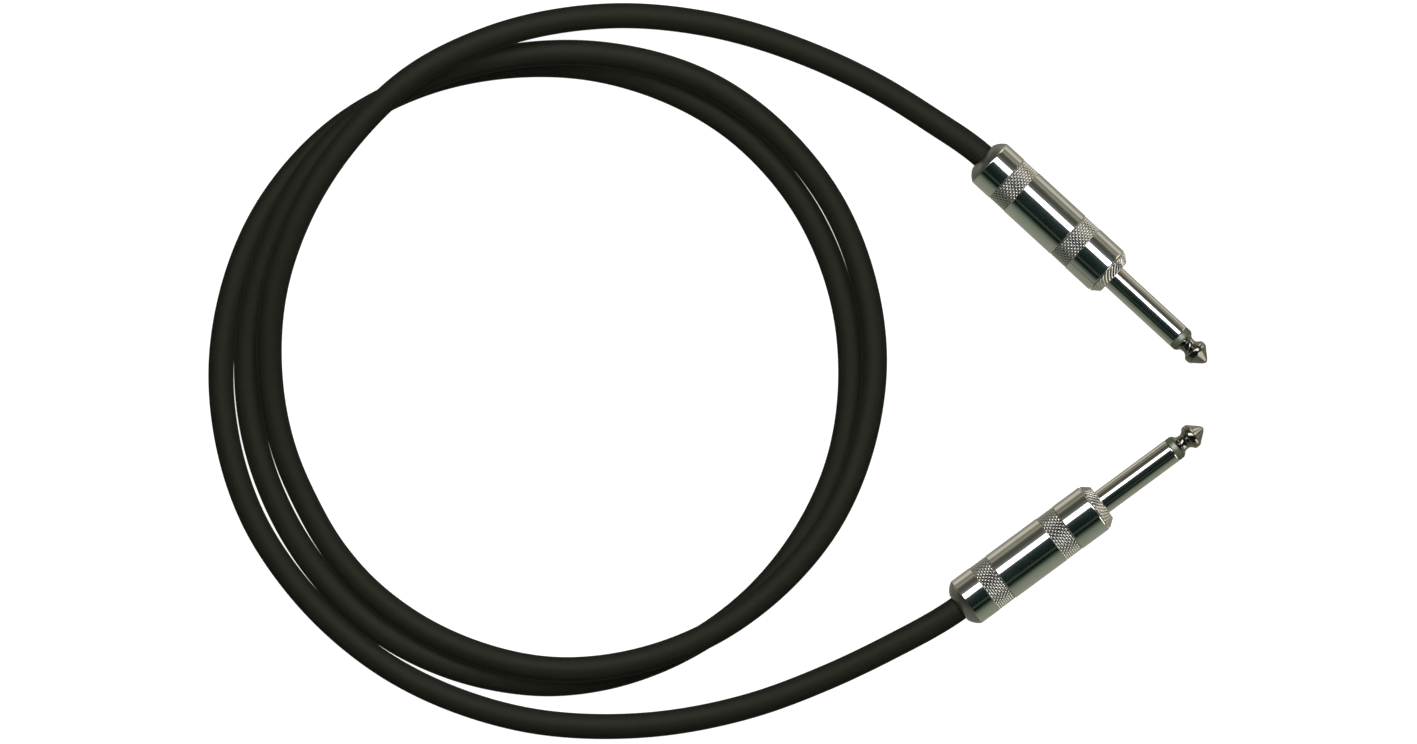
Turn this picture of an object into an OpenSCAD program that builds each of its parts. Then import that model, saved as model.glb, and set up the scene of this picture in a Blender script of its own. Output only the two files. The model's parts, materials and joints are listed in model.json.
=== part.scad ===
// Coiled instrument cable with a straight mono phone plug on each end.
// Millimetres. +Z is up, z = 0 is the table. The origin is on the table under
// the middle of the whole part. Plug a is the one on the +Y side, plug b the
// other. "Rear" is the cable end of a plug, "front" is its tip end.

/* [Cable] */
// Outer diameter of the jacket
jacket_d = 6.4; // [6.0:0.1:6.4]
// Bore of the jacket
jacket_bore = 4.6; // [4.6:0.1:5.0]
// Outer diameter of the copper shield
shield_d = 4.5; // [4.3:0.05:4.5]
// Outer diameter of the conductive layer
layer_d = 3.86; // [3.7:0.02:3.86]
// Outer diameter of the core insulation
insulation_d = 3.26; // [3.1:0.02:3.26]
// Diameter of the stranded conductor
conductor_d = 1.06; // [0.9:0.02:1.06]
// Radial play between one layer and the next, inside the shield
layer_gap = 0.05; // [0.03:0.01:0.06]
// Longest step between stations along the jacket's outside
outer_step = 11; // [8:1:12]
// Longest step between stations along the inner layers
inner_step = 16; // [12:1:18]
// Sides of the jacket's outline
outer_sides = 16; // [12:2:20]
// Sides of the inner layers' outlines
inner_sides = 8; // [8:2:12]

/* [Handle] */
// Largest diameter of the handle
handle_d = 13.07; // [13:0.01:13.07]
// Length of the handle
handle_len = 42.4; // [42.4:0.1:42.8]
// Length of the curved nose at the rear
rear_nose = 2.5; // [2.2:0.1:2.8]
// Diameter of the flat ring round the cable hole
rear_flat_d = 7.5; // [7.5:0.1:8]
// Radius of the nose's curve
nose_arc = 5; // [4:0.5:8]
// Hole that the cable leaves through
cable_hole_d = 7.0; // [6.8:0.1:7.1]
// Thickness of the rear wall
rear_wall = 2.5; // [2.2:0.1:2.6]
// Bore of the handle behind the thread
cavity_d = 10.6; // [10.6:0.1:10.8]
// Diameter over the knurled bands
knurl_d = 12.8; // [12.6:0.05:12.9]
// Length of each knurled band
knurl_len = 4.9; // [4.5:0.1:5.1]
// Start of the rear knurled band, from the rear face
rear_band_at = 8.2; // [7.5:0.1:9]
// Start of the front knurled band, from the rear face
front_band_at = 29.1; // [28:0.1:30]

/* [Plug body] */
// Diameter of the shaft and of the tip
shaft_d = 6.35; // [6.33:0.01:6.35]
// Front face of the collar, from the handle's rear face
collar_front = 44.75; // [44.6:0.05:45]
// Diameter of the collar's rear edge
collar_d = 12.6; // [12.4:0.1:12.9]
// Diameter of the collar's front face
collar_nose_d = 9.6; // [8.6:0.1:9.8]
// End of the shaft, from the handle's rear face
shaft_end = 66.8; // [66.6:0.1:67]
// End of the insulating ring, from the handle's rear face
ring_end = 68.6; // [68.4:0.1:68.8]
// Major diameter of the male thread
thread_d = 10.9; // [10.8:0.02:10.94]
// Thread length, which is also the travel of the handle as it unscrews
thread_len = 4.8; // [4:0.4:4.8]
// Bore of the shaft
shaft_bore = 4.0; // [3.8:0.1:4.2]
// Diameter of the centre rod
rod_d = 2.3; // [2:0.1:2.3]

/* [Lay of the cable] */
// Height of the plug axis above the table
axis_z = 6.54; // [6.54:0.01:6.6]
// Rear face of plug a's handle, x and y
rear_a = [69.24, 54.08]; // [-150:0.01:150]
// Heading of plug a, degrees from +X
heading_a = -42.6; // [-44:0.1:-41]
// Rear face of plug b's handle, x and y
rear_b = [63.14, -59.52]; // [-150:0.01:150]
// Heading of plug b, degrees from +X
heading_b = 36.4; // [35:0.1:38]
// Middle of the coil, x and y
coil_at = [-40.26, 2.38]; // [-150:0.01:150]
// Guide points of the centre line from plug a round to plug b, each as
// [angle round the coil, distance from its middle, height above the table].
// The first turn rides over the two below it near 120 degrees, the next one
// crosses near 480 degrees, and the last lies on the table.
lay = [
    [32, 114.4, 6.8], [40, 108.0, 7.4], [50, 101.35, 8.5],
    [65, 93.95, 10.6], [80, 88.4, 13.2], [100, 82.7, 15.9],
    [115, 79.4, 16.6], [130, 75.6, 16.4], [150, 72.35, 14.6],
    [165, 71.0, 12.2], [180, 70.1, 9.8], [200, 70.1, 7.6],
    [210, 70.45, 7.0], [220, 71.6, 6.9], [230, 72.8, 7.0], [240, 73.8, 7.2],
    [255, 75.4, 8.2], [270, 77.25, 9.3], [300, 79.6, 9.9],
    [330, 81.55, 9.3], [360, 82.2, 8.0], [390, 82.0, 7.6], [420, 80.8, 8.4],
    [440, 78.65, 9.5], [455, 77.5, 10.0], [470, 77.4, 10.2],
    [485, 77.6, 10.1], [500, 77.1, 9.3], [520, 75.75, 6.9],
    [540, 75.9, 4.9], [555, 76.4, 4.6], [570, 77.2, 4.7], [580, 78.05, 4.8],
    [590, 79.05, 4.9], [600, 79.95, 4.9], [612, 80.5, 4.2],
    [621, 80.8, 3.7], [630, 81.05, 3.42], [640, 80.75, 3.28],
    [650, 80.2, 3.22], [670, 79.0, 3.2], [700, 77.4, 3.2], [730, 75.9, 3.2],
    [750, 75.5, 3.2], [770, 75.2, 3.2], [800, 74.75, 3.2], [820, 75.4, 3.2],
    [835, 76.9, 3.2], [850, 78.75, 3.2], [870, 80.5, 3.2], [900, 82.3, 3.2],
    [930, 84.2, 3.2], [940, 84.6, 3.2], [950, 85.35, 3.2], [960, 86.4, 3.3],
    [985, 90.0, 3.8], [1005, 94.65, 4.7], [1020, 100.2, 5.5],
    [1031, 105.7, 6.1], [1040, 112.0, 6.5]
];
// Guide point at which lead a leaves the coil
leave_a = 3; // [3:1:4]
// Guide point at which lead b leaves the coil
leave_b = 56; // [55:1:56]

/* [Hidden] */
$fn = 64;
cut_past = 1;                                // how far a cutter passes the face it cuts
part_play = 0.05;                            // play between neighbouring plug parts
handle_r = handle_d / 2;
shaft_r = shaft_d / 2;
rod_r = rod_d / 2;
rod_hole_r = rod_r + part_play;              // bore of the parts threaded on the rod
bore_r = shaft_bore / 2;
thread_r = thread_d / 2;
thread_at = handle_len - thread_len;         // rear face of the plug body
jacket_r = jacket_d / 2;
shield_r = shield_d / 2;
layer_r = layer_d / 2;
insulation_r = insulation_d / 2;
conductor_r = conductor_d / 2;

// How far each layer runs into the plug, from the handle's rear face
jacket_in = 16;
shield_in = 17.5;
layer_in = 19;
insulation_in = 22;
conductor_in = 31.5;

// Earth lug: ring, plate and clamp ears
lug_near = jacket_r + 0.1;                   // face of the plate towards the axis
lug_thick = 0.7;
lug_width = 4.2;
lug_ring_r = 4.5;
lug_ring_at = thread_at - 0.8;
lug_gap = 0.02;                              // from the lug to the plug body
clamp_at = 8;                                // rear edge of the ears and plate
clamp_len = 5;
clamp_angle = 250;

// Washer and tip lug, stacked behind the earth lug's ring
washer_r = 3.0;
washer_at = thread_at - 1.6;
tip_lug_at = thread_at - 2.2;
tip_lug_front = washer_at - part_play;
tip_lug_thick = 0.55;
tip_lug_width = 2.6;
post_x = -2.6;                               // outer strip, next to the ring
blade_x = -1.15;                             // inner strip, beside the conductor
step_at = 32.5;                              // step that joins the two strips
blade_at = 26.5;
blade_len = 6.3;

// Riveted head at the rear of the centre rod
rivet_r = 1.9;
rivet_len = 0.5;
rivet_at = tip_lug_at - rivet_len;
rod_overlap = 0.5;                           // how far the rod runs into the tip

// Shield pigtail and solder
pigtail_x = 2.78;
pigtail_r = 0.5;
pigtail_at = 16.15;
pigtail_len = 8;
solder_play = 0.03;

// Tip profile: [distance from the ring, radius]
tip_outline = [
    [0, 3.0], [0.15, 2.93], [0.4, 2.62], [0.65, 2.33], [0.9, 2.12], [1.25, 2.03],
    [1.9, 1.98], [2.2, 2.05], [2.5, 2.22], [2.8, 2.48], [3.1, 2.83], [3.4, 3.09],
    [3.65, shaft_r], [4.4, shaft_r], [4.8, 3.09], [5.2, 2.78], [5.6, 2.38],
    [6.9, 1.32], [7.4, 0.85], [7.7, 0.45], [7.9, 0]
];

// Colours shared by several pieces
shield_copper = [0.72, 0.42, 0.26];
lug_metal = [0.76, 0.74, 0.68];
solder = [0.70, 0.71, 0.72];

// ---------- centre line of the cable ----------

straight_in = 8;                             // guide points on the plug axis, inside
straight_out = -2;                           // and just outside the rear face
end_guides = 3;                              // guide points on each plug's axis
coil_first = leave_a + end_guides;
coil_last = leave_b + end_guides;
last_guide = len(lay) + 2 * end_guides - 1;

function unit(v) = v / norm(v);
function on_axis(rear, heading, along) =
    [rear[0] + along * cos(heading), rear[1] + along * sin(heading), axis_z];
function from_polar(guide) =
    [coil_at[0] + guide[1] * cos(guide[0]), coil_at[1] + guide[1] * sin(guide[0]), guide[2]];

// All guide points, for a layer that ends "reach" inside each plug
function guides(reach) = concat(
    [for (along = [reach, straight_in, straight_out]) on_axis(rear_a, heading_a, along)],
    [for (guide = lay) from_polar(guide)],
    [for (along = [straight_out, straight_in, reach]) on_axis(rear_b, heading_b, along)]);

// Direction of the curve at guide point i, weighted by the chords beside it
function direction_at(path, i) =
    i == 0 ? unit(path[1] - path[0]) :
    i == len(path) - 1 ? unit(path[i] - path[i - 1]) :
    let (back = path[i] - path[i - 1], ahead = path[i + 1] - path[i],
        back_len = norm(back), ahead_len = norm(ahead))
        (back * ahead_len / back_len + ahead * back_len / ahead_len) / (back_len + ahead_len);

// Cubic from guide point i to the next: [start, end, start tangent, end tangent]
function span(path, i) =
    let (chord = norm(path[i + 1] - path[i]))
        [path[i], path[i + 1], direction_at(path, i) * chord, direction_at(path, i + 1) * chord];

// Station [point, direction] at fraction t of a span
function station(span, t) = [
    (2 * t^3 - 3 * t^2 + 1) * span[0] + (t^3 - 2 * t^2 + t) * span[2]
        + (3 * t^2 - 2 * t^3) * span[1] + (t^3 - t^2) * span[3],
    unit((6 * t^2 - 6 * t) * span[0] + (3 * t^2 - 4 * t + 1) * span[2]
        + (6 * t - 6 * t^2) * span[1] + (3 * t^2 - 2 * t) * span[3])];

// Stations between two guide points given as [first, last], cut by the longest step
function stations(path, ends, step) = concat(
    [for (i = [ends[0]:ends[1] - 1])
        let (piece = span(path, i), count = max(1, ceil(norm(piece[1] - piece[0]) / step)))
            for (k = [0:count - 1]) station(piece, k / count)],
    [station(span(path, ends[1] - 1), 1)]);

// The same list with its first and last stations moved a little past the ends,
// so that the bore cuts cleanly through them
end_overrun = 0.04;
function overrun(line) =
    let (last = len(line) - 1)
        [for (i = [0:last])
            let (shift = i == 0 ? -end_overrun : i == last ? end_overrun : 0)
                [line[i][0] + shift * line[i][1], line[i][1]]];

// Outline of radius r at one station, standing square to the centre line
function outline(at, r, sides) =
    let (side = unit(cross([0, 0, 1], at[1])), up = cross(at[1], side))
        [for (k = [0:sides - 1])
            at[0] + r * (side * cos(360 * k / sides) + up * sin(360 * k / sides))];

// Solid rod of radius r along the stations: two end caps and two triangles per side
module rod_along(line, r, sides) {
    last = len(line) - 1;
    points = [for (at = line) each outline(at, r, sides)];
    walls = [for (i = [0:last - 1], k = [0:sides - 1])
        let (here = i * sides + k, beside = i * sides + (k + 1) % sides)
            each [[here, here + sides, beside], [beside, here + sides, beside + sides]]];
    polyhedron(points, concat(
        [[for (k = [0:sides - 1]) k]],
        walls,
        [[for (k = [sides - 1:-1:0]) last * sides + k]]));
}

// ---------- layers of the cable ----------

// First and last guide point of a section
function section_ends(part) =
    part == "lead_a" ? [0, coil_first] :
    part == "coil" ? [coil_first, coil_last] :
    [coil_last, last_guide];

module tube_section(part, reach, r_out, r_in, sides = inner_sides, step = inner_step) {
    path = guides(reach);
    ends = section_ends(part);
    difference() {
        rod_along(stations(path, ends, step), r_out, sides);
        rod_along(overrun(stations(path, ends, inner_step)), r_in, inner_sides);
    }
}

module jacket_section(part) color([0.10, 0.10, 0.09])
    tube_section(part, jacket_in, jacket_r, jacket_bore / 2, outer_sides, outer_step);
module shield_section(part) color(shield_copper)
    tube_section(part, shield_in, shield_r, layer_r + layer_gap);
module layer_section(part) color([0.16, 0.16, 0.17])
    tube_section(part, layer_in, layer_r, insulation_r + layer_gap);
module insulation_section(part) color([0.90, 0.90, 0.86])
    tube_section(part, insulation_in, insulation_r, conductor_r + layer_gap);
module conductor_section(part) color([0.78, 0.45, 0.28])
    rod_along(stations(guides(conductor_in), section_ends(part), inner_step),
        conductor_r, inner_sides);

// ---------- plug, drawn with +Z along its axis from the handle's rear face ----------

// Stands a plug piece in its place: its +Z becomes the heading, its +X points down
module on_plug(side) {
    rear = side == "a" ? rear_a : rear_b;
    translate([rear[0], rear[1], axis_z])
        rotate([0, 0, side == "a" ? heading_a : heading_b]) rotate([0, 90, 0]) children();
}

module ring_solid(r_in, r_out, from, to) {
    difference() {
        translate([0, 0, from]) cylinder(r = r_out, h = to - from);
        translate([0, 0, from - cut_past]) cylinder(r = r_in, h = to - from + 2 * cut_past);
    }
}

// Outline of the handle's nose, from the flat ring to the edge on its side:
// an arc of radius nose_arc through both
nose_in = rear_flat_d / 2;
nose_chord = norm([handle_r - nose_in, rear_nose]);
nose_back = sqrt(nose_arc^2 - nose_chord^2 / 4);     // from the chord to the arc's centre
nose_mid = [(handle_r + nose_in) / 2 - rear_nose * nose_back / nose_chord,
    rear_nose / 2 + (handle_r - nose_in) * nose_back / nose_chord];
nose_from = atan2(-nose_mid[1], nose_in - nose_mid[0]);
nose_to = atan2(rear_nose - nose_mid[1], handle_r - nose_mid[0]);
nose_steps = 8;
nose_outline = [for (k = [0:nose_steps])
    let (angle = nose_from + (nose_to - nose_from) * k / nose_steps)
        nose_mid + nose_arc * [cos(angle), sin(angle)]];

// Shell that screws on from behind, with a shallow groove for each knurled band
module handle() color([0.80, 0.80, 0.80]) {
    band_cut = handle_r - knurl_d / 2;
    chamfer = 0.3;
    hole_flare = 0.3;                        // widening and depth of the hole's mouth
    thread_runout = 0.4;
    difference() {
        rotate_extrude() difference() {
            polygon(concat([[0, 0]], nose_outline, [
                [handle_r, handle_len - chamfer],
                [handle_r - chamfer, handle_len],
                [0, handle_len]]));
            for (at = [rear_band_at, front_band_at])
                translate([handle_r - band_cut, at]) square([band_cut + cut_past, knurl_len]);
        }
        translate([0, 0, -cut_past]) cylinder(d = cable_hole_d, h = rear_wall + 2 * cut_past);
        translate([0, 0, -0.01])
            cylinder(d1 = cable_hole_d + hole_flare, d2 = cable_hole_d, h = hole_flare);
        translate([0, 0, rear_wall]) cylinder(d = cavity_d, h = handle_len);
        translate([0, 0, thread_at - thread_runout])
            cylinder(r = thread_r + part_play, h = handle_len);
    }
}

// Insulating tube inside the handle
module liner() color([0.88, 0.87, 0.80])
    ring_solid(4.7, cavity_d / 2 - 0.1, rear_wall + 0.5, thread_at - 0.8);

// Shaft, collar and male thread, turned in one piece
module sleeve_body() color([0.78, 0.78, 0.78]) {
    chamfer = 0.35;
    neck_r = thread_r - 0.3;                 // groove between thread and collar
    collar_r = collar_d / 2;
    collar_rear = handle_len + 0.05;
    rotate_extrude() polygon([
        [bore_r, thread_at], [thread_r - chamfer, thread_at], [thread_r, thread_at + chamfer],
        [thread_r, handle_len - 0.5], [neck_r, handle_len - 0.3],
        [neck_r, collar_rear], [collar_r - 0.15, collar_rear],
        [collar_r, handle_len + 0.2], [collar_r, handle_len + 0.45],
        [collar_nose_d / 2, collar_front], [shaft_r, collar_front],
        [shaft_r, shaft_end], [bore_r, shaft_end]]);
}

// Turned tip with its centre rod, riveted over at the rear
module tip() color([0.82, 0.82, 0.82]) {
    rotate_extrude() polygon(concat(
        [[0, ring_end]],
        [for (point = tip_outline) [point[1], ring_end + point[0]]]));
    translate([0, 0, rivet_at]) cylinder(r = rod_r, h = ring_end - rivet_at + rod_overlap);
    translate([0, 0, rivet_at]) cylinder(r = rivet_r, h = rivet_len);
}

// Insulating ring between the shaft and the tip
module tip_ring() color([0.44, 0.47, 0.42])
    ring_solid(rod_hole_r, shaft_r - 0.03, shaft_end, ring_end);

// Insulating tube between the centre rod and the shaft's bore
module rod_tube() color([0.85, 0.83, 0.75])
    ring_solid(rod_hole_r, bore_r - part_play, washer_at, shaft_end);

// Earth terminal: ring, long lug, and clamp ears folded round the jacket
module sleeve_lug() color(lug_metal) {
    lug_front = thread_at - lug_gap;
    difference() {
        union() {
            translate([0, 0, lug_ring_at]) cylinder(r = lug_ring_r, h = lug_front - lug_ring_at);
            translate([lug_near, -lug_width / 2, clamp_at])
                cube([lug_thick, lug_width, lug_front - clamp_at]);
        }
        translate([0, 0, thread_at - 2]) cylinder(r = bore_r + part_play, h = 4);
    }
    translate([0, 0, clamp_at]) rotate([0, 0, -clamp_angle / 2])
        rotate_extrude(angle = clamp_angle)
            translate([lug_near, 0]) square([lug_thick, clamp_len]);
}

// Insulating washer between the two terminals
module washer() color([0.50, 0.30, 0.18])
    ring_solid(bore_r + part_play, washer_r, washer_at, lug_ring_at - part_play);

// Solder terminal on the centre rod: ring, outer strip, step and inner blade
module tip_lug() color(lug_metal) {
    side = -tip_lug_width / 2;
    step_len = blade_x + tip_lug_thick - post_x;
    ring_solid(rod_hole_r, washer_r, tip_lug_at, tip_lug_front);
    translate([post_x, side, step_at])
        cube([tip_lug_thick, tip_lug_width, tip_lug_front - step_at]);
    translate([post_x, side, step_at]) cube([step_len, tip_lug_width, tip_lug_thick]);
    translate([blade_x, side, blade_at]) cube([tip_lug_thick, tip_lug_width, blade_len]);
}

// Shield strands twisted together and led along the earth lug
module shield_pigtail() color(shield_copper)
    translate([pigtail_x, 0, pigtail_at]) cylinder(r = pigtail_r, h = pigtail_len);

// Rounded bead of solder, with the given length between the centres of its ends
module bead(r, length) {
    cylinder(r = r, h = length);
    sphere(r = r);
    translate([0, 0, length]) sphere(r = r);
}

// Solder round the conductor, cut flat where it meets the blade
module tip_solder() color(solder)
    difference() {
        translate([0, 0, 28.2]) bead(r = 1.1, length = 2.4);
        translate([0, 0, 25]) cylinder(r = conductor_r + solder_play, h = 8);
        translate([-3, -2, 24]) cube([2.4, 4, 10]);
    }

// Solder round the pigtail, cut flat where it meets the earth lug
module sleeve_solder() color(solder)
    difference() {
        translate([pigtail_x, 0, 20.6]) bead(r = 0.95, length = 2.6);
        translate([pigtail_x, 0, 16]) cylinder(r = pigtail_r + solder_play, h = 8.2);
        translate([lug_near, -2, 16]) cube([2, 4, 12]);
    }

// ---------- nodes ----------

module jacket_coil() jacket_section("coil");
module jacket_lead_a() jacket_section("lead_a");
module jacket_lead_b() jacket_section("lead_b");
module shield_coil() shield_section("coil");
module shield_lead_a() shield_section("lead_a");
module shield_lead_b() shield_section("lead_b");
module conductive_layer_coil() layer_section("coil");
module conductive_layer_lead_a() layer_section("lead_a");
module conductive_layer_lead_b() layer_section("lead_b");
module insulation_coil() insulation_section("coil");
module insulation_lead_a() insulation_section("lead_a");
module insulation_lead_b() insulation_section("lead_b");
module conductor_coil() conductor_section("coil");
module conductor_lead_a() conductor_section("lead_a");
module conductor_lead_b() conductor_section("lead_b");

module plug_a_tip() on_plug("a") tip();
module plug_a_tip_ring() on_plug("a") tip_ring();
module plug_a_rod_tube() on_plug("a") rod_tube();
module plug_a_sleeve_body() on_plug("a") sleeve_body();
module plug_a_sleeve_lug() on_plug("a") sleeve_lug();
module plug_a_washer() on_plug("a") washer();
module plug_a_tip_lug() on_plug("a") tip_lug();
module plug_a_shield_pigtail() on_plug("a") shield_pigtail();
module plug_a_tip_solder() on_plug("a") tip_solder();
module plug_a_sleeve_solder() on_plug("a") sleeve_solder();
module plug_a_liner() on_plug("a") liner();
module plug_a_handle() on_plug("a") handle();

module plug_b_tip() on_plug("b") tip();
module plug_b_tip_ring() on_plug("b") tip_ring();
module plug_b_rod_tube() on_plug("b") rod_tube();
module plug_b_sleeve_body() on_plug("b") sleeve_body();
module plug_b_sleeve_lug() on_plug("b") sleeve_lug();
module plug_b_washer() on_plug("b") washer();
module plug_b_tip_lug() on_plug("b") tip_lug();
module plug_b_shield_pigtail() on_plug("b") shield_pigtail();
module plug_b_tip_solder() on_plug("b") tip_solder();
module plug_b_sleeve_solder() on_plug("b") sleeve_solder();
module plug_b_liner() on_plug("b") liner();
module plug_b_handle() on_plug("b") handle();

jacket_coil();
jacket_lead_a();
jacket_lead_b();
shield_coil();
shield_lead_a();
shield_lead_b();
conductive_layer_coil();
conductive_layer_lead_a();
conductive_layer_lead_b();
insulation_coil();
insulation_lead_a();
insulation_lead_b();
conductor_coil();
conductor_lead_a();
conductor_lead_b();

plug_a_tip();
plug_a_tip_ring();
plug_a_rod_tube();
plug_a_sleeve_body();
plug_a_sleeve_lug();
plug_a_washer();
plug_a_tip_lug();
plug_a_shield_pigtail();
plug_a_tip_solder();
plug_a_sleeve_solder();
plug_a_liner();
plug_a_handle();

plug_b_tip();
plug_b_tip_ring();
plug_b_rod_tube();
plug_b_sleeve_body();
plug_b_sleeve_lug();
plug_b_washer();
plug_b_tip_lug();
plug_b_shield_pigtail();
plug_b_tip_solder();
plug_b_sleeve_solder();
plug_b_liner();
plug_b_handle();
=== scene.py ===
# A coiled, shielded cable with a straight 6.35 mm plug on each end, lying flat with Z up.
# The coil turns about COIL_AT; each plug points along its shaft mount's axis.
# Lengths are in mm up to the mesh builder, which turns them into metres.
# The floor, lights and camera are in metres.
import bpy
import json
import math
import numpy as np
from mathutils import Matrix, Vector

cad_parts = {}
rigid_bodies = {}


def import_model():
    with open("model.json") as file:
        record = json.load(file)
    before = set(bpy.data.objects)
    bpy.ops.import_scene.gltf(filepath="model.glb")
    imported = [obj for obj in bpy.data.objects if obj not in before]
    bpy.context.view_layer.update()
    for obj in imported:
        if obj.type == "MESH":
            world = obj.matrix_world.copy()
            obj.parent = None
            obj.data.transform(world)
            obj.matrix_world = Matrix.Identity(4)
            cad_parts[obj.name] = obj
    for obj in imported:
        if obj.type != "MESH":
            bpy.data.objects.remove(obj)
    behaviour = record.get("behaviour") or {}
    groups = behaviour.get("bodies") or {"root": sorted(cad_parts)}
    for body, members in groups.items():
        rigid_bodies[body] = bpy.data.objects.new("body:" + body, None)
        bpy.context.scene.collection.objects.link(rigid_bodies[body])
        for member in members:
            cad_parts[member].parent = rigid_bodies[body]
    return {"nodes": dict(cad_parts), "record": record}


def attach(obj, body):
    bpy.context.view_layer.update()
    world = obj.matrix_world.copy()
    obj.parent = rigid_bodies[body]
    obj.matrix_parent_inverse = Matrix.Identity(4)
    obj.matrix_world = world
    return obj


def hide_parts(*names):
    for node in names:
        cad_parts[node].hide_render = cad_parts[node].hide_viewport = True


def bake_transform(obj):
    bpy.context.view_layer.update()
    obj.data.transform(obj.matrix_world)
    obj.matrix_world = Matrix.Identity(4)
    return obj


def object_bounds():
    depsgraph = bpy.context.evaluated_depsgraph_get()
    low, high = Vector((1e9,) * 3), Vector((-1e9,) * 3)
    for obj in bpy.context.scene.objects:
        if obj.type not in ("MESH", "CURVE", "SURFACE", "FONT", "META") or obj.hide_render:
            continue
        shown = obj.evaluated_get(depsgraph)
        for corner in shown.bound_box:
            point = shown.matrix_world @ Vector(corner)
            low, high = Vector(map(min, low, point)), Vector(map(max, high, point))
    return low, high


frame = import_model()
cad_low, cad_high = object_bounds()
record = frame["record"]
nodes = frame["nodes"]
MM = 0.001
TURN = 2 * math.pi

# ---------------------------------------------------------------- plug frames
SHAFT_MID = 58.875              # middle of the shaft, from the handle's rear face
UP = np.array([0.0, 0.0, 1.0])


def plug_frame(mount):
    """A plug's unit axis towards its tip, the centre of its rear face and its sideways axis."""
    axis = np.array(mount["axis"], float)
    axis /= np.linalg.norm(axis)
    rear = np.array(mount["pos_m"], float) / MM - axis * SHAFT_MID
    return {"axis": axis, "rear": rear, "side": np.cross(UP, axis)}


mounts = {mount["name"]: mount for mount in record["mounts"]}
PLUG = {side: plug_frame(mounts["plug_%s_shaft" % side]) for side in "ab"}


def on_plug(side, s, radius, phi):
    """Points at s along the plug from its rear face, radius out, phi round from straight up."""
    plug = PLUG[side]
    s, radius, phi = np.broadcast_arrays(s, radius, phi)
    return (plug["rear"] + s[..., None] * plug["axis"]
            + (radius * np.cos(phi))[..., None] * UP
            + (radius * np.sin(phi))[..., None] * plug["side"])


# ---------------------------------------------------------------- meshes
def turn_outward(mesh):
    """Flips the faces if the mesh's signed volume is negative."""
    coords = np.zeros(len(mesh.vertices) * 3, np.float32)
    mesh.vertices.foreach_get("co", coords)
    mesh.calc_loop_triangles()
    corners = np.zeros(len(mesh.loop_triangles) * 3, np.int32)
    mesh.loop_triangles.foreach_get("vertices", corners)
    tri = coords.astype(float).reshape(-1, 3)[corners.reshape(-1, 3)]
    if np.einsum("ij,ij->i", tri[:, 0], np.cross(tri[:, 1], tri[:, 2])).sum() < 0:
        mesh.flip_normals()


def make_mesh(name, verts_mm, face_blocks, sharp, attributes):
    """A smooth-shaded object. Each face block is an array with one face per row;
    edges steeper than sharp degrees stay crisp."""
    mesh = bpy.data.meshes.new(name)
    verts = np.asarray(verts_mm, float).reshape(-1, 3) * MM
    sizes = np.concatenate([np.full(len(block), block.shape[1]) for block in face_blocks])
    loops = np.concatenate([block.ravel() for block in face_blocks])
    starts = np.concatenate([[0], np.cumsum(sizes)[:-1]])
    mesh.vertices.add(len(verts))
    mesh.vertices.foreach_set("co", verts.astype(np.float32).ravel())
    mesh.loops.add(len(loops))
    mesh.loops.foreach_set("vertex_index", loops.astype(np.int32))
    mesh.polygons.add(len(sizes))
    mesh.polygons.foreach_set("loop_start", starts.astype(np.int32))
    mesh.polygons.foreach_set("loop_total", sizes.astype(np.int32))
    mesh.polygons.foreach_set("use_smooth", np.ones(len(sizes), bool))
    mesh.update(calc_edges=True)
    mesh.validate()
    for key, values in attributes.items():
        values = np.asarray(values, np.float32)
        scalar = values.ndim == 1
        attribute = mesh.attributes.new(key, "FLOAT" if scalar else "FLOAT_VECTOR", "POINT")
        attribute.data.foreach_set("value" if scalar else "vector", values.ravel())
    mesh.set_sharp_from_angle(angle=math.radians(sharp))
    ob = bpy.data.objects.new(name, mesh)
    bpy.context.scene.collection.objects.link(ob)
    turn_outward(mesh)
    return ob


def grid_faces(rows, cols, closed_rows=False):
    """Quads of a rows x cols grid of vertices whose columns close into a ring."""
    row, col = np.meshgrid(np.arange(rows if closed_rows else rows - 1), np.arange(cols),
                           indexing="ij")
    next_row, next_col = (row + 1) % rows, (col + 1) % cols
    corners = [row * cols + col, row * cols + next_col,
               next_row * cols + next_col, next_row * cols + col]
    return np.stack(corners, -1).reshape(-1, 4)


def fan_caps(rows, cols):
    """Triangles closing both ends of a grid; the two centres come right after its vertices."""
    near = np.arange(cols)
    far = (near + 1) % cols
    last = (rows - 1) * cols
    return np.r_[np.stack([np.full(cols, rows * cols), far, near], -1),
                 np.stack([np.full(cols, rows * cols + 1), last + near, last + far], -1)]


def step_lengths(points):
    return np.linalg.norm(np.diff(points, axis=0), axis=1)


def travelled(points):
    """Distance from the first point to each point, along the line."""
    return np.r_[0, np.cumsum(step_lengths(points))]


# ---------------------------------------------------------------- centre line of the cable
COIL_AT = np.array([-40.26, 2.38, 0.0])
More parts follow.
